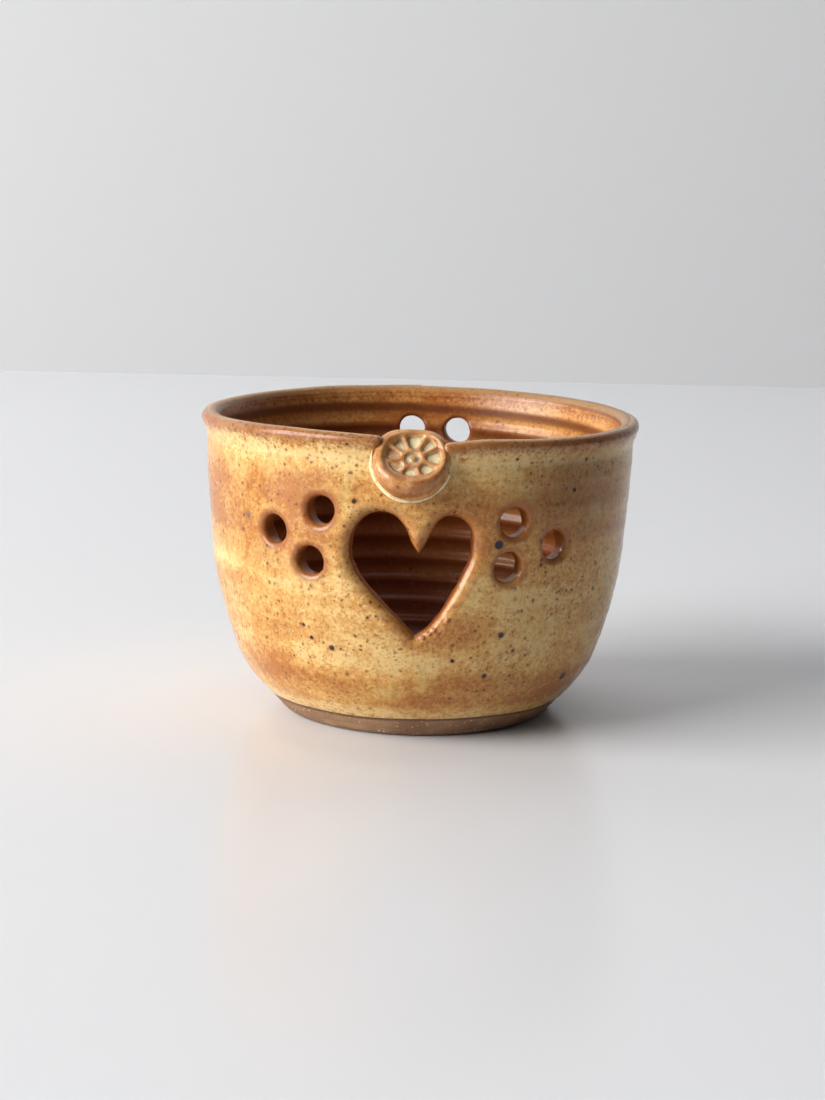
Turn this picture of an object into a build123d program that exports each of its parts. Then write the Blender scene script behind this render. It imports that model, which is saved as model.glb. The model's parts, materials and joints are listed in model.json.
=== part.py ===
"""Yarn bowl: a thrown stoneware bowl with a heart and round needle holes cut through its wall,
and a flower-stamped clay button pressed onto a dip in the rim. Millimetres, +Z up, the heart faces -Y.
The origin is the centre of the flat underside of the foot."""

import os
from math import cos, pi, sin

from build123d import *

# ---- driving dimensions -------------------------------------------------------------------------
height = 97.3               # foot to top of rim
rim_radius = 70.4           # outermost point of the flared rim
foot_radius = 42.4          # flat underside
foot_edge = 0.8             # softened corner of the foot, as wide and as high
glaze_line = 7.0            # height where the bare foot ends and the glaze starts
glaze_thickness = 0.4
floor_top = 8.6             # inside floor, above the table

# outside of the glazed wall, from the glaze line up to the widest point of the rim: (radius, height)
outer_wall = [(49.4, glaze_line), (57.7, 18.4), (63.6, 37.0), (66.6, 57.0), (68.4, 84.0), (68.8, 90.0),
              (rim_radius, 94.9)]
# inside of the glazed wall, from the rim down to the floor
inner_wall = [(64.6, 94.6), (63.1, 88.0), (61.8, 68.0), (59.9, 48.0), (53.6, 27.0), (41.0, 12.8)]
floor_edge = (28.0, floor_top + 0.5)
lip_top = (67.6, height)

# heart cut through the front wall, in the XZ plane
heart_cusp = (0.4, 62.2)
heart_tip = (-0.3, 36.4)
heart_left = [(-4.0, 70.2), (-11.4, 74.8), (-19.6, 69.4), (-20.8, 58.6), (-13.6, 49.2)]
heart_right = [(4.6, 69.4), (9.8, 74.2), (15.4, 71.2), (16.4, 61.0), (11.4, 49.8)]

# needle holes: (azimuth from the front in degrees, height)
hole_radius = 4.4
left_holes = [(-26.1, 74.1), (-41.0, 66.4), (-29.5, 58.2)]
right_holes = [(25.6, 71.7), (38.6, 63.6), (24.5, 57.8)]
back_holes = [(182.5, 82.6), (168.2, 82.4), (175.2, 68.8)]

# dip in the front of the rim that the button covers: middle, half width and depth
dip_x = 0.6
dip_half_width = 15.5
dip_depth = 4.2

# stamped button
button_azimuth = -2.1
button_height = 90.6
wall_at_button = 68.7       # radius of the glazed wall there
rim_bore = 63.9             # the button is flush with the inside of the rim
button_radius = 11.4        # the ball of clay it starts as
face_offset = 2.5           # stamped face, beyond the middle of the ball
face_tilt = 46.0            # the face looks up from the horizontal by this angle
face_round = 2.6            # radius of the corner round the face
stamp_radius = 8.3
stamp_depth = 0.9
stamp_shift = 0.6           # the stamp sits a little above the middle of the face
press_radius = 12.0
press_depth = 2.2           # clay of the button over the pressed rim
petal_count = 8
petal_turn = 20.0           # angle of the first ridge from straight up, in degrees
petal_inner = 3.5           # where the petals start, from the middle of the stamp
ridge_width = 1.0           # clay left between petals
hub_outer = 2.9             # sunk ring round the middle
hub_inner = 1.1

# slip squeezed out round the button
seam_radius = 11.7
seam_thickness = 1.5
seam_inset = 0.5
seam_top = 94.5

reach = 20.0                # how far cutters run past what they cut


def outside_line(inset):
    """The outside of the bowl from the glaze line over the lip, drawn inset inside the glazed surface."""
    wall = [(r - inset, z) for r, z in outer_wall]
    lip_end = (inner_wall[0][0] + inset, inner_wall[0][1])
    lip = ThreePointArc(wall[-1], (lip_top[0], lip_top[1] - inset), lip_end)
    leaving_foot, at_rim = (0.7, 1), (0.3, 1)
    return Spline(wall, tangents=[leaving_foot, at_rim], tangent_scalars=[1, 0.6]) + lip


def inside_line(inset):
    """The inside of the bowl from the lip to the middle of the floor."""
    wall = [(r + inset, z) for r, z in inner_wall] + [(floor_edge[0], floor_edge[1] - inset)]
    floor = Line(wall[-1], (0, floor_top - inset))
    leaving_rim, at_floor = (-0.3, -1), (-1, -0.05)
    return Spline(wall, tangents=[leaving_rim, at_floor], tangent_scalars=[0.6, 1]) + floor


def clay_section():
    """Half section of the clay, with the bare foot, whose side leans out at about 45 degrees."""
    clay_foot = (outer_wall[0][0] - glaze_thickness, glaze_line)
    foot = Polyline((0, floor_top - glaze_thickness), (0, 0), (foot_radius - foot_edge, 0),
                    (foot_radius, foot_edge), clay_foot)
    return make_face(outside_line(glaze_thickness) + inside_line(glaze_thickness) + foot)


def coat_section(line):
    """Half section of a coat of glaze: the space between the clay and the glazed surface along a line."""
    glazed, clay = line(0), line(glaze_thickness)
    ends = Line(glazed.vertices()[0], clay.vertices()[0]), Line(glazed.vertices()[-1], clay.vertices()[-1])
    return make_face(glazed + clay + ends[0] + ends[1])


def spin(section):
    """Revolve a half section, drawn in XY, about the bowl's axis."""
    return revolve(Plane.XZ * section, Axis.Z)


def heart_cutter():
    """Heart-shaped bar that runs through the front wall along Y."""
    left = Spline([heart_cusp] + heart_left + [heart_tip])
    right = Spline([heart_tip] + heart_right[::-1] + [heart_cusp])
    return Pos(0, -rim_radius + reach, 0) * extrude(Plane.XZ * make_face(left + right), 2 * reach)


def hole_cutters():
    """One radial bar for each needle hole."""
    bar = Cylinder(hole_radius, 2 * reach, rotation=(90, 0, 0))
    holes = left_holes + right_holes + back_holes
    return [Rot(0, 0, azimuth) * Pos(0, -rim_radius, z) * bar for azimuth, z in holes]


def dip_cutter():
    """Bar over the front rim whose lower face is the dip."""
    quarter = dip_half_width / 2
    half_way = height - dip_depth / 2
    above = height + 0.5
    points = [(dip_x - dip_half_width, above), (dip_x - quarter, half_way), (dip_x, height - dip_depth),
              (dip_x + quarter, half_way), (dip_x + dip_half_width, above)]
    outline = Spline(points, tangents=[(1, 0), (1, 0)])
    lid = Polyline(outline @ 1, outline @ 1 + Vector(0, reach), outline @ 0 + Vector(0, reach), outline @ 0)
    return Pos(0, -rim_radius + reach, 0) * extrude(Plane.XZ * make_face(outline + lid), 2 * reach)


def button_place():
    """Where the middle of the button's ball of clay sits, with its local Z along the face's normal."""
    return Rot(0, 0, button_azimuth) * Pos(0, -wall_at_button, button_height) * Rot(90 - face_tilt, 0, 0)


def button_blank():
    """The ball of clay, flattened by the stamp, in its own frame."""
    half = Pos(button_radius / 2, face_offset - button_radius) * Rectangle(button_radius, 2 * button_radius)
    section = Circle(button_radius) & half
    corner = section.vertices().sort_by(Axis.X)[-1]
    section = fillet(corner, face_round)
    return revolve(Plane.XZ * section, Axis.Z)


def petal_cutter():
    """One wedge of the flower, pointing along +Y in the plane of the face."""
    half_angle = pi / petal_count
    inset = ridge_width / 2
    inner_x = petal_inner * sin(half_angle) - inset
    outer_x = stamp_radius * sin(half_angle) - inset
    inner_y = petal_inner * cos(half_angle)
    outer_y = stamp_radius * cos(half_angle)
    sides = Polyline((-outer_x, outer_y), (-inner_x, inner_y), (inner_x, inner_y), (outer_x, outer_y))
    crown = ThreePointArc((outer_x, outer_y), (0, stamp_radius), (-outer_x, outer_y))
    return extrude(make_face(sides + crown), 2 * stamp_depth)


def stamp_cutter():
    """Everything the stamp presses in: eight petals round a ring."""
    petal = petal_cutter()
    ring = extrude(Circle(hub_outer) - Circle(hub_inner), 2 * stamp_depth)
    pressed = ring
    for i in range(petal_count):
        turn = petal_turn + (i + 0.5) * 360 / petal_count
        pressed += Rot(0, 0, turn) * petal
    return Pos(0, stamp_shift, face_offset - stamp_depth) * pressed


def press_cutter():
    """Room for the button's clay where the stamp pressed it and the rim down together."""
    return button_place() * Pos(0, 0, face_offset - press_depth + reach / 2) * Cylinder(press_radius, reach)


def seam_coil():
    """Coil of slip on the wall round the button, open at the top, where the rim is."""
    place = Rot(0, 0, button_azimuth) * Pos(0, seam_inset - wall_at_button, button_height) * Rot(90, 0, 0)
    below_rim = Pos(0, -rim_radius, seam_top - reach) * Box(4 * reach, 4 * reach, 2 * reach)
    return (place * Torus(seam_radius, seam_thickness)) & below_rim


def build():
    """All sub-parts, by node name."""
    blank = button_place() * button_blank()
    bore = Pos(0, 0, height) * Cylinder(rim_bore, 2 * reach)
    lump = blank - bore
    coil = seam_coil()
    openings = hole_cutters() + [heart_cutter(), dip_cutter(), press_cutter()]

    clay = spin(clay_section()) - openings
    outside = spin(coat_section(outside_line)) - openings - [blank, coil]
    inside = spin(coat_section(inside_line)) - openings - lump
    button = lump - button_place() * stamp_cutter() - clay
    seam = coil - blank - clay
    return {"clay_body": clay, "glaze_outside": outside, "glaze_inside": inside, "stamped_button": button,
            "slip_seam": seam}


os.makedirs("parts", exist_ok=True)
for name, solid in build().items():
    export_step(solid, f"parts/{name}.step")
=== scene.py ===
"""Looks for the yarn bowl: a thrown stoneware pot in a speckled honey glaze that breaks to rust on its edges,
with a stamped button on the rim. The pot, the button and the slip round it are made as smooth signed-distance
shapes, meshed on grids that follow the wall. Lengths here are in millimetres until a mesh is made."""

import json
from math import asin, atan2, cos, pi, radians, sin

import bpy
import numpy as np
from mathutils import Matrix, Vector


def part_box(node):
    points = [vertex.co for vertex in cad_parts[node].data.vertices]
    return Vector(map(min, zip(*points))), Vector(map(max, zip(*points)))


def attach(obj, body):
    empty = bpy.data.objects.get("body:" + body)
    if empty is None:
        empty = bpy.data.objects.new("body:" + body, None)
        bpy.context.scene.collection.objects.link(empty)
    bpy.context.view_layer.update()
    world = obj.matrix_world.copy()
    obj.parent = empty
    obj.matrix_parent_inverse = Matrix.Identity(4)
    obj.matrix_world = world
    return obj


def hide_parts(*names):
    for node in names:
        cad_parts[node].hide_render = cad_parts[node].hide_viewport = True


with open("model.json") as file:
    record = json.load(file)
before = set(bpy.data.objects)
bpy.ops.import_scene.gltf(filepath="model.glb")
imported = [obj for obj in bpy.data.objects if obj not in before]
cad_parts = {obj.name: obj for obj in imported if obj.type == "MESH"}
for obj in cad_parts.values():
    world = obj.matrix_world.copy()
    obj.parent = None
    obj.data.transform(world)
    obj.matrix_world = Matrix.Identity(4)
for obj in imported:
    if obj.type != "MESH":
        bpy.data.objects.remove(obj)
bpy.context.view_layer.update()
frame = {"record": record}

MM = 0.001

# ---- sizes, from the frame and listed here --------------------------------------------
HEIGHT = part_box("glaze_outside")[1].z / MM
GLAZE_LINE = 6.9            # where the glaze ends above the foot
COAT = 0.35                 # glaze over clay
ARC_RADIUS = 67.0           # radius at which distances round the wall are measured

# half section of the glazed pot, from the middle of the underside out, up the wall, over the lip and in:
# (radius, height)
FOOT = [(0, -COAT), (41.4, -COAT)]
BEVEL = [(41.4, -COAT), (42.9, 0.1), (46.0, 3.1), (49.3, 6.8)]
OUTSIDE = [(49.3, 6.8), (53.9, 12.2), (57.7, 18.4), (60.7, 26.6), (63.6, 37.0), (66.0, 49.0), (67.1, 63.0),
           (68.1, 77.0), (68.5, 86.0), (68.6, 90.0), (69.6, 93.0), (70.3, 95.0), (69.7, 96.7), (67.9, HEIGHT),
           (66.0, 97.0), (64.8, 95.6)]
INSIDE = [(64.8, 95.6), (63.6, 91.0), (62.8, 84.0), (61.9, 68.0), (60.1, 48.0), (57.6, 37.0), (53.4, 26.8),
          (48.0, 18.6), (40.5, 12.6), (30.0, 9.6), (18.0, 8.8), (0, 8.6)]
# middle of the wall, from the floor up past the rim, which the meshing grid follows
SPINE = [(35.0, 4.2), (41.0, 6.6), (47.5, 12.0), (53.5, 20.0), (58.5, 31.0), (62.0, 44.0), (64.2, 58.0),
         (65.2, 72.0), (66.0, 86.0), (67.3, 95.0), (68.4, 104.0)]

# heart, on the unrolled wall: (distance round the wall, height)
HEART_LEFT = [(0.4, 62.2), (-1.8, 65.4), (-3.9, 70.2), (-6.9, 73.5), (-11.4, 74.9), (-16.0, 73.4),
              (-19.6, 69.6), (-21.6, 63.6), (-20.4, 57.6), (-15.2, 50.8), (-8.4, 44.2), (-0.6, 36.4)]
HEART_RIGHT = [(-0.6, 36.4), (3.4, 38.8), (7.2, 43.0), (10.6, 48.4), (14.0, 54.6), (16.6, 60.6), (17.2, 65.8),
               (16.2, 70.2), (13.8, 72.8), (9.4, 74.0), (6.4, 72.4), (4.2, 68.8), (2.2, 65.0), (0.4, 62.2)]
# on the unrolled wall too: the ends of the slit where the knife overshot the heart's right lobe
SLIT = ((7.6, 73.2), (11.6, 76.2))
SLIT_WIDTH, SLIT_DEPTH = 0.5, 2.2
# crumbs of clay left on the heart's lower edges: (distance round the wall, height, radius)
CRUMBS = [(9.9, 41.9, 0.42), (8.8, 40.6, 0.30), (5.9, 38.6, 0.34), (4.3, 37.4, 0.40), (2.4, 36.0, 0.34),
          (-19.7, 57.9, 0.40)]
# needle holes: (angle from the front, height)
BORES = [mount for mount in frame["record"]["mounts"] if mount["kind"] == "bore"]
HOLE_RADIUS = BORES[0]["dims"]["r_mm"]
HOLES = [(atan2(x, -y), z / MM) for x, y, z in (bore["pos_m"] for bore in BORES)]
HEART_EDGE = 4.2            # how softly the cuts' outer edges are sponged round
HOLE_EDGE = 2.3
INNER_EDGE = 1.3            # the same on the inside of the wall
FAR = 30.0                  # stands for the distance of a cut that is nowhere near

# how the rim wanders up and down: (waves round it, height of the cosine, height of the sine)
RIM_WAVES = [(1, -0.29, -0.41), (2, -0.54, 0.37), (3, 0.17, 0.0)]
# the spiral ring that the thrower's fingers left inside, along the inside from the rim down
FIRST_CREST = 4.2
RING_PITCH = 7.8
RING_DEPTH = 0.36
# stamped button
low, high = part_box("stamped_button")      # its sides and underside are the ball's own
BUTTON_WALL = 68.7          # distance of its middle from the axis
BUTTON_RADIUS = (high.x - low.x) / 2 / MM
BUTTON_HEIGHT = low.z / MM + BUTTON_RADIUS
BUTTON_TURN = asin((high.x + low.x) / 2 / MM / BUTTON_WALL)
FACE_OFFSET = 2.7           # stamped face, beyond the middle of the ball
FACE_TILT = 46.0            # how far the face looks up, in degrees
BUTTON_BACK = 62.3          # distance from the axis at which the ball was cut off, inside the wall
NEST_INSET = 1.5            # the hollow in the wall that holds it, inside the ball's surface
NEST_DEPTH = 2.6            # and below its face


# ---- curves and tables ----------------------------------------------------------------
def smooth_line(points, step=0.4):
    """Points along a smooth curve through the given ones."""
    p = np.array(points, float)
    span = np.linalg.norm(np.diff(p, axis=0), axis=1)[:, None]
    slope = np.diff(p, axis=0) / span
    between = (slope[:-1] * span[1:] + slope[1:] * span[:-1]) / (span[1:] + span[:-1])
    tangent = np.vstack([slope[:1], between, slope[-1:]])
    line = []
    for i in range(len(span)):
        t = np.linspace(0, 1, max(2, int(span[i, 0] / step)), endpoint=False)[:, None]
        start = (2 * t**3 - 3 * t**2 + 1) * p[i] + (t**3 - 2 * t**2 + t) * span[i] * tangent[i]
        end = (3 * t**2 - 2 * t**3) * p[i + 1] + (t**3 - t**2) * span[i] * tangent[i + 1]
        line.append(start + end)
    return np.vstack(line + [p[-1:]])


def to_segment(x, y, a, b):
    """Distance of points from a segment."""
    dx, dy = b - a
    t = np.clip(((x - a[0]) * dx + (y - a[1]) * dy) / max(dx * dx + dy * dy, 1e-12), 0, 1)
    return np.hypot(x - a[0] - t * dx, y - a[1] - t * dy)


class Table:
    """A function of two lengths, kept on a fine grid and read by blending its four nearest values."""

    def __init__(self, low, high, step, function):
        self.low, self.step = low, step
        x = np.arange(low[0], high[0], step)
        y = np.arange(low[1], high[1], step)
        self.values = function(*np.meshgrid(x, y, indexing="ij")).astype(np.float32)

    def __call__(self, x, y):
        nx, ny = self.values.shape
        u = np.clip((x - self.low[0]) / self.step, 0, nx - 1.001)
        v = np.clip((y - self.low[1]) / self.step, 0, ny - 1.001)
        i, j = u.astype(np.int32), v.astype(np.int32)
        u, v = u - i, v - j
        t = self.values
        low = t[i, j] * (1 - u) + t[i + 1, j] * u
        high = t[i, j + 1] * (1 - u) + t[i + 1, j + 1] * u
        return low * (1 - v) + high * v


def line_distance(line):
    """Distance from an open line, as a function of two lengths."""
    def function(x, y):
        nearest = np.full(x.shape, 1e9)
        for a, b in zip(line[:-1], line[1:]):
            nearest = np.minimum(nearest, to_segment(x, y, a, b))
        return nearest
    return function


def inside_distance(outline):
    """Signed distance from a closed outline, negative inside it, as a function of two lengths."""
    closed = np.vstack([outline, outline[:1]])

    def function(x, y):
        inside = np.zeros(x.shape, bool)
        for a, b in zip(closed[:-1], closed[1:]):
            if a[1] != b[1]:
                inside ^= ((a[1] > y) != (b[1] > y)) & (x < (b[0] - a[0]) * (y - a[1]) / (b[1] - a[1]) + a[0])
        nearest = line_distance(closed)(x, y)
        return np.where(inside, -nearest, nearest)
    return function


def lengths_along(line):
    """Distance along a line of each of its points."""
    return np.concatenate([[0], np.cumsum(np.linalg.norm(np.diff(line, axis=0), axis=1))])


def run_along(line):
    """Distance along an open line of its nearest point, as a function of two lengths."""
    def function(x, y):
        nearest = np.full(x.shape, 1e9)
        run = np.zeros(x.shape)
        for point, s in zip(line, lengths_along(line)):
            away = (x - point[0]) ** 2 + (y - point[1]) ** 2
            run = np.where(away < nearest, s, run)
            nearest = np.minimum(nearest, away)
        return run
    return function


def ramp(value, start, end):
    """0 before start, 1 after end, smooth between them."""
    t = np.clip((value - start) / (end - start), 0, 1)
    return t * t * (3 - 2 * t)


def soft_max(a, b, width):
    """The larger of two distances, with the corner between them rounded."""
    h = np.maximum(width - np.abs(a - b), 0)
    return np.maximum(a, b) + h * h / (4 * width)


def soft_min(a, b, width):
    """The smaller of two distances, rounded in the same way."""
    return -soft_max(-a, -b, width)


def wobble(x, y, z, size, seed):
    """Smooth wandering between about -1 and 1 over distances of about size."""
    random = np.random.default_rng(seed)
    total = 0
    for _ in range(7):
        direction = random.normal(size=3)
        direction *= 2 * pi / (size * random.uniform(1.2, 2.6) * np.linalg.norm(direction))
        along = x * direction[0] + y * direction[1] + z * direction[2]
        total = total + np.sin(along + random.uniform(0, 2 * pi))
    return total / 3


outside_line, inside_line = smooth_line(OUTSIDE), smooth_line(INSIDE)
pot_outline = np.vstack([FOOT[:1], smooth_line(BEVEL), outside_line[1:], inside_line[1:]])
SECTION_BOX = (-2, -12), (86, 112)          # radius and height that the section's tables cover
section = Table(*SECTION_BOX, 0.3, inside_distance(pot_outline))
underside = np.vstack([FOOT[:1], smooth_line(BEVEL), outside_line])
from_outside = Table(*SECTION_BOX, 0.4, line_distance(underside))
from_inside = Table(*SECTION_BOX, 0.4, line_distance(inside_line))
inside_run = Table(*SECTION_BOX, 0.4, run_along(smooth_line(INSIDE, 0.2)))
outside_run = Table(*SECTION_BOX, 0.4, run_along(smooth_line(OUTSIDE, 0.2)))
heart_outline = np.vstack([smooth_line(HEART_LEFT)[:-1], smooth_line(HEART_RIGHT)[:-1]])
heart = Table((-34, 26), (30, 86), 0.2, inside_distance(heart_outline))


# ---- where the button sits ------------------------------------------------------------
turn, tilt = BUTTON_TURN, radians(FACE_TILT)
OUTWARD = np.array((sin(turn), -cos(turn), 0))
NORMAL = OUTWARD * cos(tilt) + np.array((0, 0, sin(tilt)))
ACROSS = np.array((cos(turn), sin(turn), 0))
UPWARD = np.cross(NORMAL, ACROSS)
BUTTON_MIDDLE = OUTWARD * BUTTON_WALL + np.array((0, 0, BUTTON_HEIGHT))
STAMP_MIDDLE = (0.65, -0.2)         # on the face: across and upward from the middle of the ball
RIDGES = [24, 59, 108, 159, 211, 261, 304, 339]      # between the petals, clockwise from the top, in degrees


def button_frame(x, y, z):
    """How far points lie across the button's face, up it, and out from the middle of the ball."""
    p = np.stack([x, y, z], -1) - BUTTON_MIDDLE
    return p @ ACROSS, p @ UPWARD, p @ NORMAL


def ball_distance(x, y, z):
    """Signed distance from the ball of clay, a little squarer and taller above its middle."""
    u, v, n = button_frame(x, y, z)
    bulk = 2.0 + 0.5 * ramp(v, 0.0, 6.0)
    flat = (np.abs(u) ** bulk + np.abs(v * (1 - 0.05 * ramp(v, 0.0, 6.0))) ** bulk) ** (1 / bulk)
    return np.hypot(flat, n) - BUTTON_RADIUS - 0.16 * wobble(u, v, n, 13.0, 21)


def lump_distance(x, y, z):
    """Signed distance from the button before the stamp: a ball pressed flat, with a raised soft border."""
    u, v, n = button_frame(x, y, z)
    out = np.hypot(u - STAMP_MIDDLE[0], v - STAMP_MIDDLE[1])
    border = 0.8 * ramp(out, 8.0, 9.8) * ramp(v, 10.0, 6.0)
    face = n - FACE_OFFSET - border - 0.13 * wobble(u, v, n, 7.0, 22)
    return soft_max(ball_distance(x, y, z), face, 2.6)


# ---- the pot as a signed distance -----------------------------------------------------
def rim_lift(azimuth):
    """How far the rim wanders up and down."""
    t = azimuth - pi / 2
    return sum(a * np.cos(waves * t) + b * np.sin(waves * t) for waves, a, b in RIM_WAVES)


def rim_dip(azimuth):
    """The dip that the button sits in: slight on its left, more on its right, deepest under it."""
    across = (azimuth - BUTTON_TURN) * ARC_RADIUS
    beside = np.where(across < 0, 0.3 * ramp(across, -26.0, -8.0), 0.3 + 1.3 * ramp(across, 24.0, 8.0))
    return beside + 3.4 * ramp(np.abs(across), 9.6, 3.0)


def cut_distance(r, azimuth, z):
    """Distance outside the nearest cut, negative inside it, and whether that cut is the heart."""
    across = azimuth * ARC_RADIUS
    heart_cut = np.where(np.abs(across) < 29, heart(across, z), FAR)
    nearest = np.full(np.shape(r), FAR)
    for number, (middle, height) in enumerate(HOLES):
        turn = (azimuth - middle + pi) % (2 * pi) - pi
        side = np.where(np.abs(turn) < 0.5, r * np.sin(turn), FAR)
        up = z - height
        round_angle = np.arctan2(up, side)
        uneven = 0.12 * np.sin(2 * round_angle + number) + 0.07 * np.sin(3 * round_angle + 2 * number)
        nearest = np.minimum(nearest, np.hypot(side, up) - (HOLE_RADIUS + uneven))
    return np.minimum(heart_cut, nearest), heart_cut < nearest


def level_of(azimuth, z):
    """Height in the pot's half section, before the rim was lifted and dipped."""
    up = np.clip(z / HEIGHT, 0, 1.1)
    return z - rim_lift(azimuth) * up * up + rim_dip(azimuth) * ramp(z, 66.0, 95.0)


def uncut_distance(x, y, z):
    """Rough distance from the pot with no cuts in it."""
    return section(np.hypot(x, y), level_of(np.arctan2(x, -y), z))


def pot_parts(x, y, z):
    """Distance from the uncut pot, distance from the cuts, whether the heart is the nearest of them, and 1 on
    the outside of the wall and 0 on the inside."""
    azimuth = np.arctan2(x, -y)
    r = np.hypot(x, y)
    level = level_of(azimuth, z)
    outer = ramp(from_inside(r, level) - from_outside(r, level), -2.0, 2.0)
    d = section(r, level)
    wave = throwing_turns(r, level, azimuth)
    fade = ramp(level, 97.0, 84.0) * ramp(r, 4.0, 14.0)
    throwing = np.cos(2 * pi * wave) + 0.3 * np.cos(4 * pi * wave + 1.0) + 0.35 * wobble(x, y, z, 26.0, 3)
    d = d - (1 - outer) * RING_DEPTH * fade * throwing
    faint = np.sin(2 * pi * level / 9.3 + azimuth + 0.6) + 0.6 * np.sin(2 * pi * level / 4.1 - azimuth)
    d = d - outer * ramp(level, 4.0, 12.0) * (0.05 * faint + 0.10 * wobble(x, y, z, 18.0, 5))
    d = d - ramp(level, 0.5, 30.0) * 0.22 * wobble(x, y, z, 55.0, 8)
    cut, is_heart = cut_distance(r, azimuth, z)
    return d, cut, is_heart, outer


def throwing_turns(r, level, azimuth):
    """Turns of the thrower's spiral from the rim down to a point inside, a whole number on each crest."""
    return (inside_run(r, level) - FIRST_CREST) / RING_PITCH + (azimuth - pi) / (2 * pi)


def pot_distance(x, y, z):
    """Signed distance from the glazed pot, with sponged cuts, the knife's slit, and room for the button."""
    d, cut, is_heart, outer = pot_parts(x, y, z)
    edge = np.where(is_heart, HEART_EDGE, HOLE_EDGE) * outer + INNER_EDGE * (1 - outer)
    result = soft_max(d, -cut, edge)
    across = np.where(y < 0, np.arctan2(x, -y) * ARC_RADIUS, 99.0)
    slit = to_segment(across, z, np.array(SLIT[0]), np.array(SLIT[1])) - SLIT_WIDTH / 2
    result = soft_max(result, -soft_max(slit, -d - SLIT_DEPTH, 0.4), 0.8)
    for side, up, size in CRUMBS:
        away = np.sqrt((across - side) ** 2 + (z - up) ** 2 + (result + 0.05) ** 2)
        result = np.where(away < 3, soft_min(result, away - size, 0.8), result)
    below_face = FACE_OFFSET - NEST_DEPTH - button_frame(x, y, z)[2]
    nest = soft_max(ball_distance(x, y, z) + NEST_INSET, below_face, 1.0)
    return soft_max(result, -nest, 3.0)


def clay_distance(x, y, z):
    """Signed distance from the clay under the glaze."""
    return pot_distance(x, y, z) + COAT


def glaze_end(azimuth):
    """Height at which the glaze ends above the foot."""
    wave = 0.22 * np.sin(2 * azimuth + 1.0) + 0.13 * np.sin(5 * azimuth) + 0.07 * np.sin(11 * azimuth + 2)
    return GLAZE_LINE + wave


def coat_distance(x, y, z):
    """The glazed pot above the glaze line, its lower edge rounded."""
    return soft_max(pot_distance(x, y, z), glaze_end(np.arctan2(x, -y)) - z, 0.7)


# ---- meshing --------------------------------------------------------------------------
def surface_nets(values, points, wrap):
    """Vertices, quads and the grid cell of each vertex, where values on a 3-D grid change sign.
    The grid's first direction closes on itself if wrap is true."""
    if wrap:
        values = np.concatenate([values, values[:1]])
        points = np.concatenate([points, points[:1]])
    solid = values < 0
    corners = [(a, b, c) for a in (0, 1) for b in (0, 1) for c in (0, 1)]
    shape = tuple(n - 1 for n in values.shape)

    def at(array, corner):
        return array[tuple(slice(c, c + n) for c, n in zip(corner, shape))]

    count = sum(at(solid, c).astype(np.int8) for c in corners)
    cells = np.argwhere((count > 0) & (count < 8))
    total = np.zeros((len(cells), 3))
    crossings = np.zeros(len(cells))
    for start in corners:
        for axis in range(3):
            if start[axis]:
                continue
            end = tuple(s + (k == axis) for k, s in enumerate(start))
            i, j = tuple((cells + start).T), tuple((cells + end).T)
            a, b = values[i], values[j]
            cross = (a < 0) != (b < 0)
            t = np.where(cross, a / np.where(cross, a - b, 1), 0)[:, None]
            total += np.where(cross[:, None], points[i] * (1 - t) + points[j] * t, 0)
            crossings += cross
    vertices = total / crossings[:, None]
    number = np.full(shape, -1, np.int64)
    number[tuple(cells.T)] = np.arange(len(cells))
    quads = []
    for axis in range(3):
        u, v = (axis + 1) % 3, (axis + 2) % 3
        here = [slice(None)] * 3
        there = [slice(None)] * 3
        here[axis], there[axis] = slice(0, -1), slice(1, None)
        edges = np.argwhere(solid[tuple(here)] != solid[tuple(there)])
        if wrap:
            edges = edges[edges[:, 0] < shape[0]]
        forward = solid[tuple(edges.T)]
        ring = []
        for du, dv in ((0, 0), (-1, 0), (-1, -1), (0, -1)):
            cell = edges.copy()
            cell[:, u] += du
            cell[:, v] += dv
            ring.append(cell)
        ring = np.stack(ring, 1)
        if wrap:
            ring[:, :, 0] %= shape[0]
        good = ((ring >= 0) & (ring < np.array(shape))).all(axis=(1, 2))
        ring, forward = ring[good], forward[good]
        quad = number[ring[..., 0], ring[..., 1], ring[..., 2]]
        quad[~forward] = quad[~forward][:, ::-1]
        quads.append(quad)
    quads = np.concatenate(quads)
    return vertices, quads[(quads >= 0).all(axis=1)], cells


def gradient(distance, p, reach=0.05):
    """The way in which a distance grows fastest at points."""
    steps = np.eye(3) * reach
    return np.stack([distance(*(p + s).T) - distance(*(p - s).T) for s in steps], 1) / (2 * reach)


def settle(distance, p, times=3):
    """Points moved onto the surface."""
    for _ in range(times):
        slope = gradient(distance, p)
        size = np.maximum((slope**2).sum(1), 0.05)
        move = (distance(*p.T) / size)[:, None] * slope
        length = np.linalg.norm(move, axis=1, keepdims=True)
        p = p - move * np.minimum(1, 0.6 / np.maximum(length, 1e-9))
    return p


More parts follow.
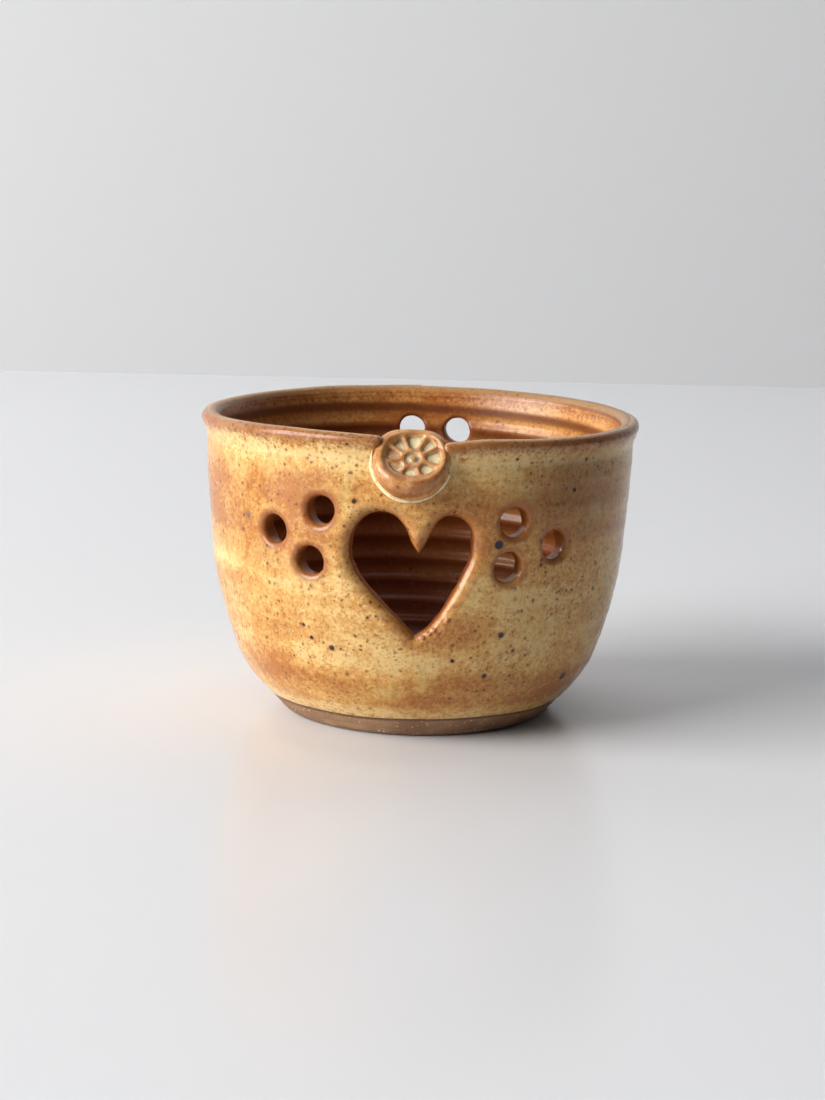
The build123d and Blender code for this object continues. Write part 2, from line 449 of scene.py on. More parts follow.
def wall_grid(columns, step):
    """Grid of points round the wall, and which layer is its middle. The first index goes round the wall, the
    next up it and the last through it, from the inside out."""
    inward, outward = round(9.5 / step), round(11.5 / step)
    spine = smooth_line(SPINE, 0.1)
    length = lengths_along(spine)
    s = np.linspace(0, length[-1], int(length[-1] / step))
    middle = np.stack([np.interp(s, length, spine[:, k]) for k in (0, 1)], 1)
    along = np.gradient(middle, axis=0)
    smooth = np.ones(9) / 9
    along = np.stack([np.convolve(np.pad(along[:, k], 4, mode="edge"), smooth, "valid") for k in (0, 1)], 1)
    along /= np.linalg.norm(along, axis=1, keepdims=True)
    through = np.stack([along[:, 1], -along[:, 0]], 1)
    layers = np.arange(-inward, outward + 1) * step
    r_z = middle[:, None] + through[:, None] * layers[None, :, None]
    azimuth = np.arange(columns) * 2 * pi / columns
    r, z = r_z[..., 0], r_z[..., 1]
    x = np.sin(azimuth)[:, None, None] * r
    y = -np.cos(azimuth)[:, None, None] * r
    points = np.stack([x, y, np.broadcast_to(z, x.shape)], -1)
    return points, inward


def unrolled(points, faces, run, floor_at):
    """Texture coordinates for each face corner. The wall is unrolled in two strips, front and back, with the
    walls of the cuts folded into their openings. The floor, past a run of floor_at, is a disc beside them."""
    corners = np.concatenate([np.array(face) for face in faces])
    sizes = np.array([len(face) for face in faces])
    owner = np.repeat(np.arange(len(faces)), sizes)
    x, y, z = points.T
    azimuth, r = np.arctan2(x, -y), np.hypot(x, y)
    uncut, cut, _, _ = pot_parts(x, y, z)
    depth = np.clip(-uncut, 0, 3.0) * ramp(cut, 1.5, 0.0)
    turned, raised = 0.5 / ARC_RADIUS, 0.5
    slope = np.stack([cut_distance(r, azimuth + turned, z)[0] - cut_distance(r, azimuth - turned, z)[0],
                      cut_distance(r, azimuth, z - raised)[0] - cut_distance(r, azimuth, z + raised)[0]], 1)
    fold = -unit(slope) * depth[:, None]
    along = run(r, level_of(azimuth, z))
    starts = np.concatenate([[0], np.cumsum(sizes)[:-1]])
    back = (np.add.reduceat(y[corners], starts) / sizes > 0)[owner]
    u = np.where(back, (azimuth[corners] % (2 * pi)) - pi, azimuth[corners]) * ARC_RADIUS + fold[corners, 0]
    v = along[corners] + fold[corners, 1] + np.where(back, floor_at + 4.0, 0.0)
    u = u + pi / 2 * ARC_RADIUS + 2.0
    on_floor = (np.add.reduceat((along > floor_at)[corners].astype(int), starts) == sizes)[owner]
    floor_radius = r[along > floor_at].max() if (along > floor_at).any() else 0.0
    beside = u.max() + 2.0
    u = np.where(on_floor, x[corners] + floor_radius + beside, u)
    v = np.where(on_floor, y[corners] + floor_radius + 2.0, v)
    size = max(u.max(), v.max()) + 2.0
    return np.stack([u, v + 2.0], 1) / size


def make_object(name, points, faces, material, distance, attributes=None, corners=None):
    """An object in the scene, from millimetres, with normals taken from its distance function."""
    mesh = bpy.data.meshes.new(name)
    mesh.from_pydata((np.asarray(points) * MM).tolist(), [], faces)
    mesh.shade_smooth()
    if corners is not None:
        layer = mesh.uv_layers.new(name="OFBake")
        layer.data.foreach_set("uv", corners.astype(np.float32).ravel())
    for key, values in (attributes or {}).items():
        layer = mesh.attributes.new(key, "FLOAT", "POINT")
        layer.data.foreach_set("value", np.asarray(values, np.float32))
    mesh.normals_split_custom_set_from_vertices(unit(gradient(distance, points)).tolist())
    mesh.materials.append(material)
    piece = bpy.data.objects.new(name, mesh)
    bpy.context.scene.collection.objects.link(piece)
    return piece


def used_only(points, faces, attributes):
    """The points that faces use, the faces renumbered, and the same rows of the attributes."""
    used = np.unique(np.concatenate([np.array(f) for f in faces]))
    number = np.full(len(points), -1)
    number[used] = np.arange(len(used))
    faces = [tuple(number[list(f)].tolist()) for f in faces]
    return points[used], faces, {key: values[used] for key, values in attributes.items()}


# ---- the button and the slip round it -------------------------------------------------
def stamp_reach(u, v):
    """Distance outside the round of the stamp, in the plane of the face."""
    u, v = u - STAMP_MIDDLE[0], v - STAMP_MIDDLE[1]
    r = np.hypot(u, v)
    rise = v / np.maximum(r, 0.1)
    return r - (8.2 + 0.3 * u / np.maximum(r, 0.1) + 1.1 * rise - 0.4 * rise * rise)


def stamp_distance(u, v):
    """Distance outside the pressed figures of the stamp, in the plane of the face."""
    outside = stamp_reach(u, v)
    u, v = u - STAMP_MIDDLE[0], v - STAMP_MIDDLE[1]
    r = np.hypot(u, v)
    angle = np.degrees(np.arctan2(u, v))
    ridge = np.full(np.shape(r), 50.0)
    for degrees in RIDGES:
        away = np.radians((angle - degrees + 180) % 360 - 180)
        ridge = np.minimum(ridge, np.where(np.abs(away) < 1.5, np.abs(r * np.sin(away)), 50.0))
    petals = soft_max(soft_max(outside, 3.4 - r, 1.2), 0.16 + 0.03 * r - ridge, 1.3)
    ring = soft_max(r - 2.6, 0.75 - r, 0.9)
    return np.minimum(petals, ring)


def button_distance(x, y, z):
    """Signed distance from the stamped button."""
    u, v, n = button_frame(x, y, z)
    depth = 1.15 + 0.03 * (u + v) + 0.16 * wobble(u, v, n, 5.0, 41)
    pressed = stamp_distance(u, v)
    floor = FACE_OFFSET - depth - n - 0.25 * ramp(pressed, 0.0, -1.6)
    lump = lump_distance(x, y, z) + 0.4 * ramp(stamp_reach(u, v), 1.2, -0.8) * ramp(n, 0.0, 1.5)
    d = soft_max(lump, -soft_max(pressed - 0.25 * (n - FACE_OFFSET), floor, 0.35), 0.5)
    return soft_max(d, BUTTON_BACK - np.hypot(x, y), 1.2)


def seam_distance(x, y, z):
    """Signed distance from the bead of slip where the ball meets the wall, thickest at the left."""
    u, v, n = button_frame(x, y, z)
    left = ramp(u, 6.0, -7.0)
    thick = 0.46 + 0.42 * left + 0.10 * wobble(u, v, n, 8.0, 31)
    thick = thick * (0.15 + 0.85 * ramp(z - 2.5 * left, 92.0, 85.0)) * ramp(z - 2.0 * left, 93.5, 91.5)
    thick = thick * ramp(np.hypot(x, y), 65.0, 67.0)
    return np.hypot(ball_distance(x, y, z) - 0.5, pot_parts(x, y, z)[0] - 0.05) - thick


# ---- building the pieces --------------------------------------------------------------
def boundary_loops(quads):
    """Closed loops of vertex numbers along edges that only one quad uses."""
    edges = np.concatenate([quads[:, [k, (k + 1) % 4]] for k in range(4)])
    edges = edges[edges[:, 0] != edges[:, 1]]
    key = np.sort(edges, 1) @ np.array([edges.max() + 1, 1])
    _, first, count = np.unique(key, return_index=True, return_counts=True)
    follow = {}
    for a, b in edges[first[count == 1]]:
        follow.setdefault(a, []).append(b)
    loops = []
    while follow:
        start = next(iter(follow))
        loop, here = [], start
        while here in follow:
            loop.append(here)
            ahead = follow[here].pop()
            if not follow[here]:
                del follow[here]
            here = ahead
        loops.append(loop)
    return loops


def zip_rings(outer, inner, angles):
    """Triangles between two rings of vertices that both run once round the axis."""
    faces, i, j = [], 0, 0
    n, m = len(outer), len(inner)

    def turn_of(ring, k):
        return angles[ring[k % len(ring)]] + 2 * pi * (k // len(ring))
    while i < n or j < m:
        if j >= m or (i < n and turn_of(outer, i + 1) <= turn_of(inner, j + 1)):
            faces.append((outer[i % n], outer[(i + 1) % n], inner[j % m]))
            i += 1
        else:
            faces.append((outer[i % n], inner[(j + 1) % m], inner[j % m]))
            j += 1
    return faces


def disc_faces(vertices, loop, distance, step):
    """Rings of triangles from a loop in to the axis, and the new vertices, settled on the surface."""
    azimuth = np.arctan2(vertices[loop, 0], -vertices[loop, 1]) % (2 * pi)
    order = np.argsort(azimuth, kind="stable")
    ring = [loop[k] for k in order]
    angles = dict(zip(ring, azimuth[order]))
    radius = np.hypot(vertices[loop, 0], vertices[loop, 1]).min()
    level = vertices[loop, 2].mean()
    new, faces = [], []
    while radius > 1.5 * step:
        radius -= step
        count = max(7, int(2 * pi * radius / step))
        inner = []
        for k in range(count):
            a = (k + 0.5 * (len(new) % 2)) * 2 * pi / count
            inner.append(len(vertices) + len(new))
            angles[inner[-1]] = a
            new.append((radius * sin(a), -radius * cos(a), level))
        faces += zip_rings(ring, inner, angles)
        ring = inner
    middle = len(vertices) + len(new)
    new.append((0, 0, level))
    faces += [(ring[k], ring[(k + 1) % len(ring)], middle) for k in range(len(ring))]
    return settle(distance, np.array(new), 8), faces


def face_towards(points, faces, distance):
    """The faces, turned if need be so that they face away from the solid."""
    sample = faces[:: max(1, len(faces) // 400)]
    dot = 0
    for face in sample:
        a, b, c = points[face[0]], points[face[1]], points[face[2]]
        way = gradient(distance, ((a + b + c) / 3)[None])[0]
        dot += np.sign(np.dot(np.cross(b - a, c - a), way))
    return faces if dot > 0 else [face[::-1] for face in faces]


def pot_mesh(distance, columns, step, keep):
    """The pot's vertices, faces and, for each face, whether it is on the outer half of the wall."""
    grid, middle = wall_grid(columns, step)
    x, y, z = np.moveaxis(grid, -1, 0)
    values = uncut_distance(x, y, z)
    near = (np.abs(values) < 3.6) | (z < 13)
    values[near] = distance(x[near], y[near], z[near])
    vertices, quads, cells = surface_nets(values, grid, True)
    vertices = settle(distance, vertices)
    kept = keep(vertices)
    quads = quads[kept[quads].any(axis=1)]
    outer = cells[:, 2][quads].mean(axis=1) >= middle
    loops = [loop for loop in boundary_loops(quads) if cells[loop, 1].max() == 0 and len(loop) > 50]
    faces, outer = face_towards(vertices, [tuple(q) for q in quads.tolist()], distance), list(outer)
    for loop in loops:
        is_outer = cells[loop, 2].mean() >= middle
        new, disc = disc_faces(vertices, loop, distance, step * 1.25)
        vertices = np.vstack([vertices, new])
        faces += face_towards(vertices, disc, distance)
        outer += [is_outer] * len(disc)
    return vertices, faces, np.array(outer)


def ball_mesh(distance, low, high, step):
    """A mesh on a grid in the button's own frame."""
    axes = [np.arange(a, b, step) for a, b in zip(low, high)]
    u, v, n = np.meshgrid(*axes, indexing="ij")
    grid = BUTTON_MIDDLE + u[..., None] * ACROSS + v[..., None] * UPWARD + n[..., None] * NORMAL
    values = distance(grid[..., 0], grid[..., 1], grid[..., 2])
    vertices, quads, _ = surface_nets(values, grid, False)
    vertices = settle(distance, vertices)
    faces = face_towards(vertices, [tuple(q) for q in quads.tolist()], distance)
    return vertices, faces


def bend_of(distance, p, reach):
    """How sharply the surface turns at points: positive on edges and negative in hollows, per millimetre."""
    total = -6 * distance(*p.T)
    for step in np.eye(3) * reach:
        total += distance(*(p + step).T) + distance(*(p - step).T)
    return total / reach**2


def unit(v):
    """Vectors of length 1."""
    return v / np.maximum(np.linalg.norm(v, axis=1, keepdims=True), 1e-9)


# ---- materials ------------------------------------------------------------------------
def rgb(red, green, blue):
    """A colour from 0 to 255 as linear RGBA."""
    return tuple(c / 12.92 if c < 0.04045 else ((c + 0.055) / 1.055) ** 2.4
                 for c in (red / 255, green / 255, blue / 255)) + (1.0,)


class Paint:
    """A short way to write a material's nodes. Lengths are in millimetres."""

    def __init__(self, name):
        self.material = bpy.data.materials.new(name)
        self.material.use_nodes = True
        self.tree = self.material.node_tree
        self.shader = self.tree.nodes["Principled BSDF"]
        place = self.tree.nodes.new("ShaderNodeTexCoord").outputs["Object"]
        self.place = self.vector("MULTIPLY", place, (1000, 1000, 1000))
        self.x, self.y, self.z = self.node("ShaderNodeSeparateXYZ", {0: self.place}).outputs

    def node(self, kind, inputs, **settings):
        """A new node with its inputs, each a value or another node's output."""
        made = self.tree.nodes.new(kind)
        for key, value in settings.items():
            setattr(made, key, value)
        for key, value in inputs.items():
            self.put(made.inputs[key], value)
        return made

    def put(self, socket, value):
        if isinstance(value, bpy.types.NodeSocket):
            self.tree.links.new(value, socket)
        else:
            socket.default_value = value

    def math(self, operation, a, b):
        return self.node("ShaderNodeMath", {0: a, 1: b}, operation=operation).outputs[0]

    def vector(self, operation, a, b):
        return self.node("ShaderNodeVectorMath", {0: a, 1: b}, operation=operation).outputs[0]

    def total(self, *terms):
        result = terms[0]
        for term in terms[1:]:
            result = self.math("ADD", result, term)
        return result

    def times(self, a, b):
        return self.math("MULTIPLY", a, b)

    def over(self, color, mask, strength, tint):
        """A colour, with that strength of a tint over it where the mask is 1."""
        return self.mix(self.times(mask, strength), color, tint)

    def fade(self, value, start, end):
        """0 at start, 1 at end, smooth between."""
        inputs = {"Value": value, "From Min": start, "From Max": end}
        return self.node("ShaderNodeMapRange", inputs, interpolation_type="SMOOTHSTEP").outputs[0]

    def mix(self, amount, a, b):
        """The colour a, with an amount from 0 to 1 of b in its place."""
        made = self.node("ShaderNodeMix", {}, data_type="RGBA")
        self.put(made.inputs["Factor"], amount)
        self.put(made.inputs[6], a)
        self.put(made.inputs[7], b)
        return made.outputs[2]

    def noise(self, size, detail=2.0, roughness=0.5, distortion=0.0, stretch=(1, 1, 1), shift=0.0):
        """Noise with features of about size, squeezed by stretch."""
        scale = tuple(s / size for s in stretch)
        place = self.vector("MULTIPLY", self.vector("ADD", self.place, (shift, shift, shift)), scale)
        inputs = {"Vector": place, "Scale": 1.0, "Detail": detail, "Roughness": roughness,
                  "Distortion": distortion}
        return self.node("ShaderNodeTexNoise", inputs).outputs["Fac"]

    def specks(self, size, radius, share, shift=0.0):
        """Two masks: round specks up to radius, in about that share of cells of a size, and their halos."""
        place = self.vector("ADD", self.place, (shift, shift, shift))
        wander = self.node("ShaderNodeTexNoise", {"Vector": place, "Scale": 1.3, "Detail": 2.0})
        wander = wander.outputs["Color"]
        place = self.vector("ADD", place, self.vector("MULTIPLY", wander, (0.7, 0.7, 0.7)))
        cell = self.node("ShaderNodeTexVoronoi", {"Vector": place, "Scale": 1 / size}, feature="F1")
        parts = self.node("ShaderNodeSeparateColor", {0: cell.outputs["Color"]}).outputs
        here = self.math("LESS_THAN", parts[0], share)
        reach = self.times(radius / size, self.math("ADD", self.times(parts[1], 0.6), 0.4))
        away = cell.outputs["Distance"]
        spot = self.fade(away, reach, self.times(reach, 0.55))
        halo = self.fade(away, self.times(reach, 2.2), self.times(reach, 0.8))
        return self.times(spot, here), self.times(halo, here)

    def spot(self, middle, radius, soft, squash=(1, 1, 1)):
        """1 round a point, falling to 0 at radius over that share of it."""
        away = self.vector("MULTIPLY", self.vector("SUBTRACT", self.place, tuple(middle)), squash)
        distance = self.node("ShaderNodeVectorMath", {0: away}, operation="LENGTH").outputs["Value"]
        return self.fade(distance, radius, radius * (1 - soft))

    def attribute(self, name):
        """A value stored with the mesh's points."""
        return self.node("ShaderNodeAttribute", {}, attribute_name=name).outputs["Fac"]

    def bump(self, height, depth):
        """Bumps whose height of 1 is depth in millimetres."""
        inputs = {"Height": height, "Strength": 1.0, "Distance": depth * MM}
        return self.node("ShaderNodeBump", inputs).outputs[0]

    def finish(self, color, roughness, normal=None):
        """The finished material."""
        self.put(self.shader.inputs["Base Color"], color)
        self.put(self.shader.inputs["Roughness"], roughness)
        if normal is not None:
            self.put(self.shader.inputs["Normal"], normal)
        return self.material


CREAM = rgb(234, 212, 160)
PALE = rgb(230, 194, 128)
HONEY = rgb(210, 158, 86)
TAN = rgb(170, 104, 46)
RUST = rgb(132, 64, 26)
DARK = rgb(76, 34, 16)
IRON = rgb(44, 27, 19)

# big specks: (azimuth in degrees, height, radius, colour)
SPECKS = [(21.2, 65.2, 1.75, rgb(30, 34, 44)), (-24.3, 31.0, 1.1, rgb(58, 42, 34)),
          (53.4, 18.4, 1.6, rgb(66, 58, 50)), (20.8, 23.0, 1.0, rgb(58, 50, 44)),
          (-50.5, 69.2, 1.0, rgb(104, 96, 96)), (25.0, 91.3, 0.8, IRON), (47.8, 89.3, 0.8, IRON),
          (43.8, 80.2, 0.9, IRON), (10.5, 28.6, 0.8, IRON), (24.0, 36.5, 1.2, rgb(60, 44, 34)),
          (-30.5, 33.6, 0.8, IRON), (-32.6, 37.5, 0.7, IRON)]
# middle of the broad, soft brown darkening at the upper right, on the side away from the window lamp:
# (azimuth in degrees, height)
UPPER_RIGHT_BROWN = (46.0, 81.0)


def on_wall(degrees, z):
    """A point on the outside of the wall, in millimetres."""
    r = np.interp(z, outside_line[:200, 1], outside_line[:200, 0])
    a = radians(degrees)
    return r * sin(a), -r * cos(a), z


def speckled(paint, color, height, strength):
    """Iron specks of four sizes over a colour, each with a brown halo, and the height they add."""
    crowd = paint.fade(paint.noise(34.0, 2.0, 0.5, shift=40), 0.30, 0.62)
    crowd = paint.math("ADD", paint.times(crowd, 0.75), 0.25)
    # size of a cell, speck's radius, share of the cells, shift of the pattern, strength and colour
    sizes = [(1.2, 0.38, 0.65, 3, 0.65, rgb(122, 66, 26)), (2.0, 0.58, 0.65, 11, 0.85, rgb(86, 42, 16)),
             (3.6, 0.80, 0.55, 29, 0.95, rgb(54, 26, 11)), (9.0, 1.0, 0.45, 47, 0.95, rgb(36, 18, 10))]
    for size, radius, share, shift, amount, tint in sizes:
        spot, halo = paint.specks(size, radius, share, shift)
        amount = paint.times(crowd, amount * strength)
        color = paint.over(color, paint.times(halo, amount), 0.42, rgb(146, 84, 40))
        color = paint.over(color, spot, amount, tint)
        height = paint.total(height, paint.times(spot, 0.5))
    return color, height


def glaze(name, inside):
    """Honey glaze: mottled, cream where it pools, rust where it thins over edges, full of iron specks.
    Inside, painted shade darkens it deeper down and under each thrower's ring.
    """
    paint = Paint(name)
    paint.shader.inputs["Specular IOR Level"].default_value = 0.4
    sharp, broad = paint.attribute("sharp"), paint.attribute("broad")
    near_cut, level, lip = paint.attribute("cut"), paint.attribute("level"), paint.attribute("lip")
    cloud = paint.noise(30.0, 3.0, 0.55, 0.5)
    patch = paint.noise(12.0, 3.0, 0.6, 0.8, shift=61)
    mottle = paint.noise(2.6, 4.0, 0.65, 0.9, shift=7)
    grain = paint.noise(0.8, 2.0, 0.6, shift=19)
    bands = paint.noise(26.0, 3.0, 0.55, 0.3, stretch=(0.35, 0.35, 2.6), shift=90)
    fine = paint.noise(1.3, 3.0, 0.7, 0.4, shift=71)
    tone = paint.total(paint.times(cloud, 0.45), paint.times(patch, 0.25), paint.times(bands, 0.50),
                       paint.times(mottle, 0.36), paint.times(fine, 0.45), -0.515)
    if not inside:
        upper = paint.times(paint.fade(level, 54.0, 68.0), paint.fade(level, 88.0, 79.0))
        lower = paint.times(paint.fade(level, 26.0, 19.0), paint.fade(level, 9.0, 13.0))
        tone = paint.total(tone, paint.times(upper, 0.15), paint.times(lower, 0.14), -0.03)
    if inside:
        color = paint.mix(paint.fade(tone, 0.32, 0.62), rgb(212, 154, 86), rgb(168, 98, 44))
        # dark band on the underside of each thrower's ring: partly rust, partly painted shade
        ring_rust_and_shade = paint.attribute("throwing")
        color = paint.over(color, paint.fade(ring_rust_and_shade, -0.4, 1.0), 0.85, rgb(96, 42, 15))
        # painted shade: the inside darker the deeper it lies below the rim
        color = paint.over(color, paint.fade(level, 88.0, 62.0), 0.62, rgb(108, 50, 20))
    else:
        color = paint.mix(paint.fade(tone, 0.36, 0.54), PALE, HONEY)
        color = paint.over(color, paint.fade(tone, 0.50, 0.72), 0.9, TAN)
        color = paint.over(color, paint.fade(patch, 0.46, 0.30), 0.35, rgb(196, 176, 112))
    color = paint.over(color, paint.fade(mottle, 0.50, 0.78), 0.45, TAN)
    color = paint.over(color, paint.fade(grain, 0.54, 0.74), 0.36, RUST)
    if not inside:
        color = paint.over(color, paint.fade(broad, -0.03, -0.16), 0.5, CREAM)
        # a broad, soft brown darkening over the upper right, away from the window lamp
        upper_right_brown = paint.spot(on_wall(*UPPER_RIGHT_BROWN), 38.0, 0.95, (1, 1, 1.7))
        color = paint.over(color, upper_right_brown, 0.62, rgb(118, 62, 26))

    # rust round the cuts and along sharp edges
    ragged = paint.times(paint.math("SUBTRACT", mottle, 0.5), 5.0)
    halo = paint.fade(paint.total(near_cut, ragged, paint.times(patch, 6.0)), 7.0, 1.8)
    above = paint.math("ADD", paint.times(paint.fade(level, 58.0, 74.0), 0.32), 0.46)
    color = paint.over(color, halo, above, rgb(156, 88, 38))
    edge = paint.math("ADD", sharp, paint.times(ragged, 0.07))
    not_lip = paint.fade(level, 91.5, 89.5)
    rusty = paint.times(paint.fade(edge, 0.10, 0.50), not_lip)
    color = paint.over(color, rusty, 0.62, rgb(142, 76, 38))
    color = paint.over(color, paint.fade(near_cut, 0.7, 0.1), 0.6, rgb(122, 62, 26))

    # the brown band on the rim, ragged below and paler along its top
    ragged_rim = paint.times(paint.math("SUBTRACT", fine, 0.5), 5.0)
    on_rim = paint.fade(paint.total(level, paint.times(ragged, 0.5), ragged_rim), 91.6, 95.4)
    band = paint.times(on_rim, paint.fade(paint.math("ADD", lip, paint.times(ragged, 14.0)), 86.0, 40.0))
    color = paint.over(color, band, 0.80, rgb(140, 72, 32))
    color = paint.over(color, paint.times(band, paint.fade(fine, 0.52, 0.70)), 0.6, DARK)
    top = paint.times(paint.fade(lip, 60.0, 88.0), paint.fade(level, 95.2, 96.2))
    color = paint.over(color, top, 0.55, rgb(182, 148, 102))

    color, height = speckled(paint, color, paint.times(mottle, 0.7), 0.6 if inside else 1.0)
    if not inside:
        for degrees, z, radius, tint in SPECKS:
            middle = on_wall(degrees, z)
            color = paint.over(color, paint.spot(middle, radius * 1.8, 0.6), 0.4, rgb(150, 92, 48))
            color = paint.mix(paint.spot(middle, radius, 0.4), color, tint)
    height = paint.total(height, paint.times(grain, 0.22))
    roughness = paint.total(0.24 if inside else 0.13, paint.times(mottle, 0.14), paint.times(grain, 0.04))
    return paint.finish(color, roughness, paint.bump(height, 0.045))


def bare_clay(name):
    """Unglazed stoneware: sandy, matt, with fine turning lines, grog, and a dark line against the glaze."""
    paint = Paint(name)
    below = paint.attribute("below")
    lines = paint.noise(1.5, 3.0, 0.6, stretch=(0.06, 0.06, 2.4), shift=5)
    sand = paint.noise(0.6, 3.0, 0.7, shift=15)
    patch = paint.noise(10.0, 3.0, 0.6, shift=33)
    color = paint.mix(paint.fade(patch, 0.35, 0.65), rgb(166, 130, 98), rgb(140, 104, 76))
    color = paint.over(color, paint.fade(lines, 0.48, 0.68), 0.6, rgb(126, 94, 70))
    color = paint.over(color, paint.fade(sand, 0.5, 0.72), 0.5, rgb(108, 78, 56))
    grog, _ = paint.specks(1.5, 0.48, 0.50, 5)
    iron, _ = paint.specks(2.1, 0.36, 0.30, 17)
    color = paint.over(color, grog, 0.8, rgb(228, 210, 182))
    color = paint.over(color, iron, 0.8, rgb(62, 40, 28))
    scorch = paint.math("ADD", below, paint.times(sand, 0.6))
    color = paint.over(color, paint.fade(scorch, 1.5, 0.4), 0.8, rgb(88, 48, 28))
    height = paint.total(paint.times(lines, 1.2), sand, grog)
    return paint.finish(color, 0.9, paint.bump(height, 0.12))


def button_glaze(name):
    """The same glaze on the button: tan and rust on its rounded body, cream in the stamp's hollows, painted
    shade in its sharpest creases.
    """
    paint = Paint(name)
    sharp, hollow = paint.attribute("sharp"), paint.attribute("hollow")
    mottle = paint.noise(2.2, 3.0, 0.6, 0.8, shift=7)
    patch = paint.noise(7.0, 2.0, 0.5, 0.5, shift=51)
    grain = paint.noise(0.7, 2.0, 0.6, shift=19)
    tone = paint.total(paint.times(patch, 0.6), paint.times(mottle, 0.4))
    color = paint.mix(paint.fade(tone, 0.38, 0.62), rgb(210, 156, 98), rgb(174, 112, 60))
    color = paint.over(color, paint.fade(grain, 0.5, 0.8), 0.3, RUST)
    color = paint.over(color, paint.fade(sharp, 0.3, 1.2), 0.25, rgb(150, 84, 42))
    missed = paint.fade(paint.total(tone, paint.attribute("left")), 1.0, 0.62)
    color = paint.over(color, paint.fade(hollow, 0.1, 0.9), missed, rgb(238, 220, 174))
    # painted shade: dark brown in the sharpest creases
    color = paint.over(color, paint.fade(sharp, -0.35, -1.3), 0.5, rgb(112, 60, 30))
    color, height = speckled(paint, color, paint.times(mottle, 0.7), 0.55)
    return paint.finish(color, paint.total(0.16, paint.times(mottle, 0.16)), paint.bump(height, 0.045))


def pale_slip(name):
    """Cream slip, thinly glazed."""
    paint = Paint(name)
    mottle = paint.noise(1.8, 3.0, 0.6, 0.6, shift=3)
    color = paint.mix(paint.fade(mottle, 0.42, 0.75), rgb(246, 228, 184), rgb(206, 168, 112))
    return paint.finish(color, 0.28, paint.bump(mottle, 0.05))


# ---- the pieces -----------------------------------------------------------------------
def coat_attributes(vertices):
    """What the glaze's colours depend on, for each vertex."""
    x, y, z = vertices.T
    azimuth = np.arctan2(x, -y)
    r = np.hypot(x, y)
    level = level_of(azimuth, z)
    # shifted a fifth of a ring down the inside, so that the band of rust and painted shade lies on each
    # ring's underside
    under = throwing_turns(r, level, azimuth) - 0.2
    return {"sharp": bend_of(pot_distance, vertices, 0.8), "broad": bend_of(pot_distance, vertices, 2.6),
            "cut": np.clip(cut_distance(r, azimuth, z)[0], 0, FAR), "level": level,
            "lip": np.degrees(np.arctan2(level - 94.2, r - 67.0)), "throwing": np.cos(2 * pi * under)}


FLOOR_RUN = 108.0           # where the floor begins, along the inside from the rim down
NO_FLOOR = 200.0            # longer than any run


def run_up(r, level):
    """Distance up the outside, so that the rim is at the top of its strips."""
    return 106.0 - outside_run(r, level)


def glaze_pieces():
    """The glazed surface as one mesh, divided into its outer and inner halves."""
    vertices, faces, outer = pot_mesh(coat_distance, 560, 0.74, lambda p: pot_distance(*p.T) > -0.8)
    attributes = coat_attributes(vertices)
    halves = [("glaze_outside", "honey_glaze", False), ("glaze_inside", "liner_glaze", True)]
    made = []
    for name, slot, inside in halves:
        chosen = [face for face, is_outer in zip(faces, outer) if is_outer != inside]
        points, chosen, values = used_only(vertices, chosen, attributes)
        if inside:
            corners = unrolled(points, chosen, inside_run, FLOOR_RUN)
        else:
            corners = unrolled(points, chosen, run_up, NO_FLOOR)
        material = glaze(slot, inside)
        piece = make_object("visual_" + name, points, chosen, material, coat_distance, values, corners)
        made.append((piece, name, slot))
    return made


def clay_piece():
    """The whole pot of clay, which shows only at the foot."""
    vertices, faces, _ = pot_mesh(clay_distance, 400, 1.1, lambda p: np.ones(len(p), bool))
    below = {"below": glaze_end(np.arctan2(vertices[:, 0], -vertices[:, 1])) - vertices[:, 2]}
    return make_object("visual_clay_body", vertices, faces, bare_clay("bare_clay"), clay_distance, below)


def button_piece():
    """The stamped button, with what its colours depend on: edges, the stamp's hollows, and its left side."""
    vertices, faces = ball_mesh(button_distance, (-13, -13, -13), (13, 13, 5), 0.22)
    u, v, n = button_frame(*vertices.T)
    under_face = ramp(n, FACE_OFFSET - 0.2, FACE_OFFSET - 0.7) * ramp(n, 0, 0.5)
    shown = {"sharp": bend_of(button_distance, vertices, 0.5),
             "left": 0.35 * ramp(u, -1.5, -4.0) * ramp(v, -6.0, -3.0),
             "hollow": ramp(stamp_distance(u, v), 0.1, -0.6) * under_face}
    material = button_glaze("button_glaze")
    return make_object("visual_stamped_button", vertices, faces, material, button_distance, shown)


def slip_piece():
    """The bead of slip round the button."""
    vertices, faces = ball_mesh(seam_distance, (-15, -15, -13), (15, 15, 12), 0.25)
    return make_object("visual_slip_seam", vertices, faces, pale_slip("pale_slip"), seam_distance)


pieces = glaze_pieces()
pieces.append((clay_piece(), "clay_body", "bare_clay"))
pieces.append((button_piece(), "stamped_button", "button_glaze"))
pieces.append((slip_piece(), "slip_seam", "pale_slip"))
for piece, node, slot in pieces:
    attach(piece, "root")
    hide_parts(node)


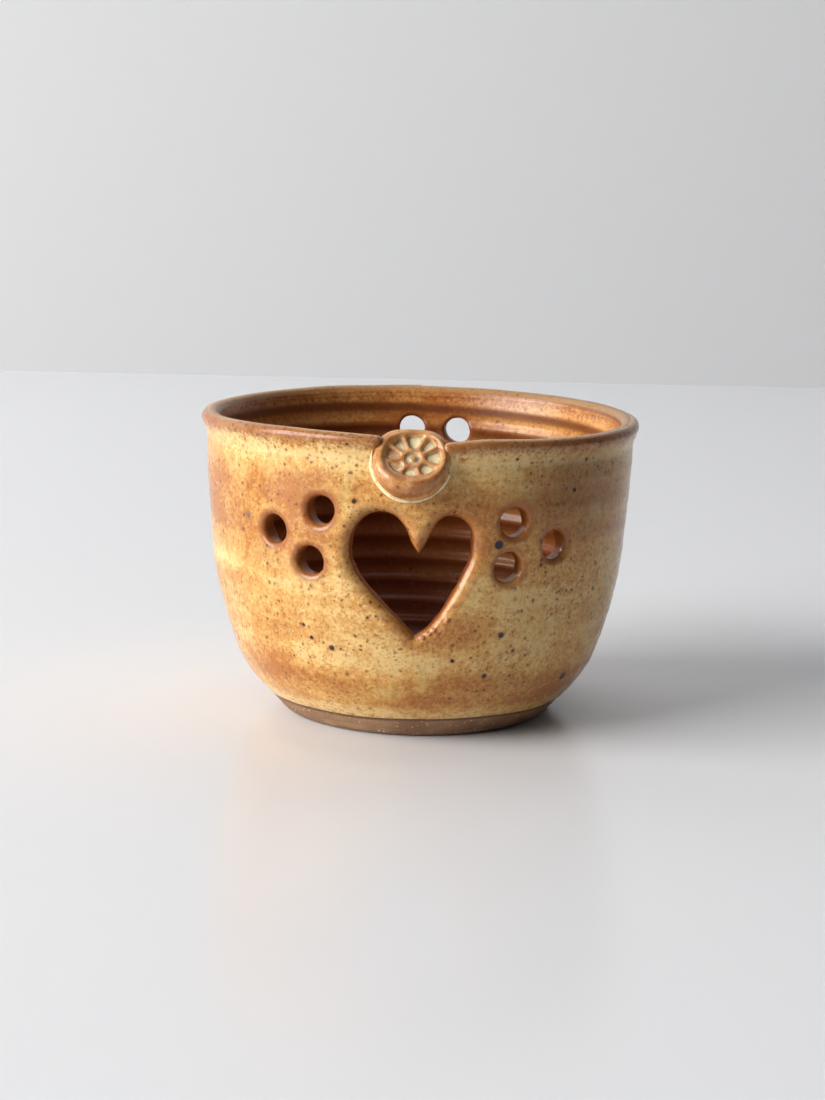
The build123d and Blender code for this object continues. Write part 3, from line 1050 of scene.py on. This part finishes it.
# ---- stage, light and camera ----------------------------------------------------------
def table_and_backdrop():
    """A white table with a backdrop behind it."""
    near, edge, side, top = -1.6, 0.93, 3.5, 2.4
    points = [(-side, near, 0), (side, near, 0), (side, edge, 0), (-side, edge, 0),
              (side, edge, top), (-side, edge, top)]
    mesh = bpy.data.meshes.new("sweep")
    mesh.from_pydata(points, [], [(0, 1, 2, 3), (3, 2, 4, 5)])
    paint = Paint("table")
    tone = paint.fade(paint.z, 0.0, 0.1)
    color = paint.mix(tone, rgb(228, 229, 232), rgb(204, 205, 207))
    roughness = paint.math("ADD", 0.22, paint.times(tone, 0.6))
    paint.shader.inputs["Specular IOR Level"].default_value = 0.2
    mesh.materials.append(paint.finish(color, roughness))
    stage = bpy.data.objects.new("sweep", mesh)
    bpy.context.scene.collection.objects.link(stage)


def area_light(name, place, target, size, power, color):
    """A rectangular lamp at a place, in metres, that faces a target."""
    lamp = bpy.data.lights.new(name, "AREA")
    lamp.shape = "RECTANGLE"
    lamp.size, lamp.size_y = size
    lamp.energy, lamp.color = power, color
    light = bpy.data.objects.new(name, lamp)
    light.location = place
    light.rotation_mode = "QUATERNION"
    light.rotation_quaternion = (Vector(target) - Vector(place)).to_track_quat("-Z", "Y")
    bpy.context.scene.collection.objects.link(light)


def camera():
    """The view from the front: a little above, with a slight turn and roll."""
    yaw, pitch, roll = radians(-0.13), radians(10.74), radians(1.21)
    forward = Vector((sin(yaw) * cos(pitch), cos(yaw) * cos(pitch), -sin(pitch)))
    right = Vector((cos(yaw), -sin(yaw), 0))
    up = right.cross(forward)
    right, up = right * cos(roll) + up * sin(roll), up * cos(roll) - right * sin(roll)
    lens = bpy.data.cameras.new("camera")
    lens.sensor_width, lens.lens = 36.0, 76.45
    lens.clip_start, lens.clip_end = 0.01, 20.0
    seen = bpy.data.objects.new("camera", lens)
    seen.matrix_world = Matrix.LocRotScale(Vector((0, -0.75, 0.19345)),
                                           Matrix((right, up, -forward)).transposed().to_quaternion(), None)
    bpy.context.scene.collection.objects.link(seen)
    bpy.context.scene.camera = seen


table_and_backdrop()
area_light("window", (-2.72, -1.15, 1.35), (0, 0, 0.05), (2.6, 2.2), 190.0, (1.0, 0.985, 0.96))
area_light("sky", (0.3, 0.5, 2.0), (0, 0, 0), (1.6, 1.6), 6.5, (0.96, 0.98, 1.0))
world = bpy.data.worlds.new("world")
world.use_nodes = True
world.node_tree.nodes["Background"].inputs["Color"].default_value = (0.92, 0.95, 1.0, 1)
world.node_tree.nodes["Background"].inputs["Strength"].default_value = 0.06
bpy.context.scene.world = world
bpy.context.scene.view_settings.view_transform = "Standard"
camera()
